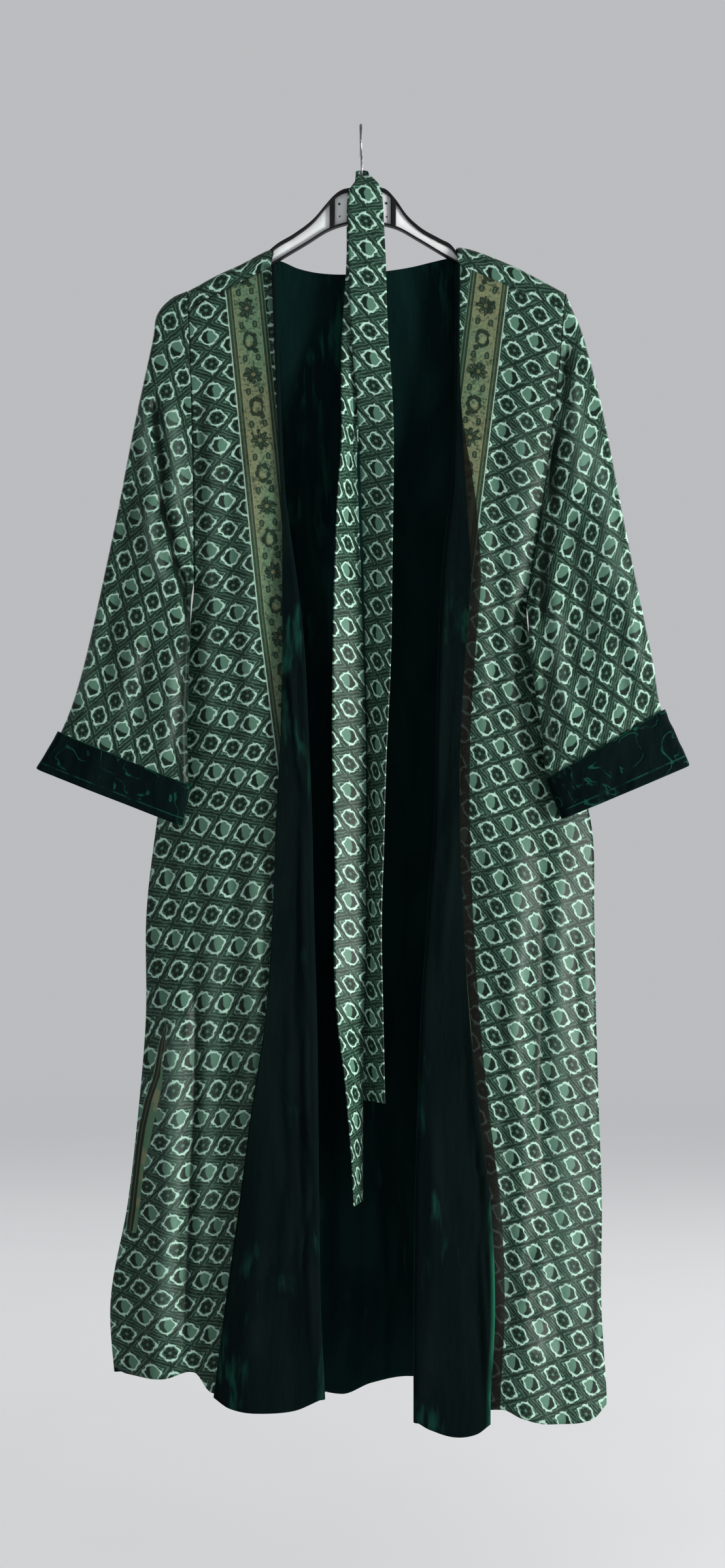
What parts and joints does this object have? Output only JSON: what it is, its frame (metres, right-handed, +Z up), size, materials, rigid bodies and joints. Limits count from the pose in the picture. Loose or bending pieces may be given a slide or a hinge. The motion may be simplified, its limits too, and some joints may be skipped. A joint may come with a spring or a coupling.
{
  "type": "kimono robe on a hanger, with its belt",
  "caption": "Open kimono-style robe of patterned silk lined with velvet, hanging on a moulded hanger with its belt looped over the hook.",
  "frame": {"origin": "inside of the hook, where it bears on its peg or rail", "axes": "+Z up, +X to the wearer's left, -Y to the open front"},
  "size_m": [0.7026, 0.0891, 1.4198],
  "materials": {
    "silk": "printed satin-faced silk, green ground with mint lattice and olive border",
    "velvet": "short-pile silk velvet, bottle green",
    "belt_silk": "printed satin-faced silk, doubled",
    "hanger_grey": "satin moulded plastic",
    "hanger_black": "satin moulded plastic",
    "hook_steel": "plated wire"
  },
  "bodies": {
    "root": {"back_silk": "silk", "back_lining": "velvet", "front_right_silk": "silk", "front_right_lining": "velvet", "front_left_silk": "silk", "front_left_lining": "velvet", "sleeve_right_silk": "silk", "sleeve_left_silk": "silk", "cuff_right": "velvet", "cuff_left": "velvet", "belt": "belt_silk", "hanger_rim": "hanger_black", "hanger_web": "hanger_grey", "hanger_hook": "hook_steel"}
  },
  "joints": []
}
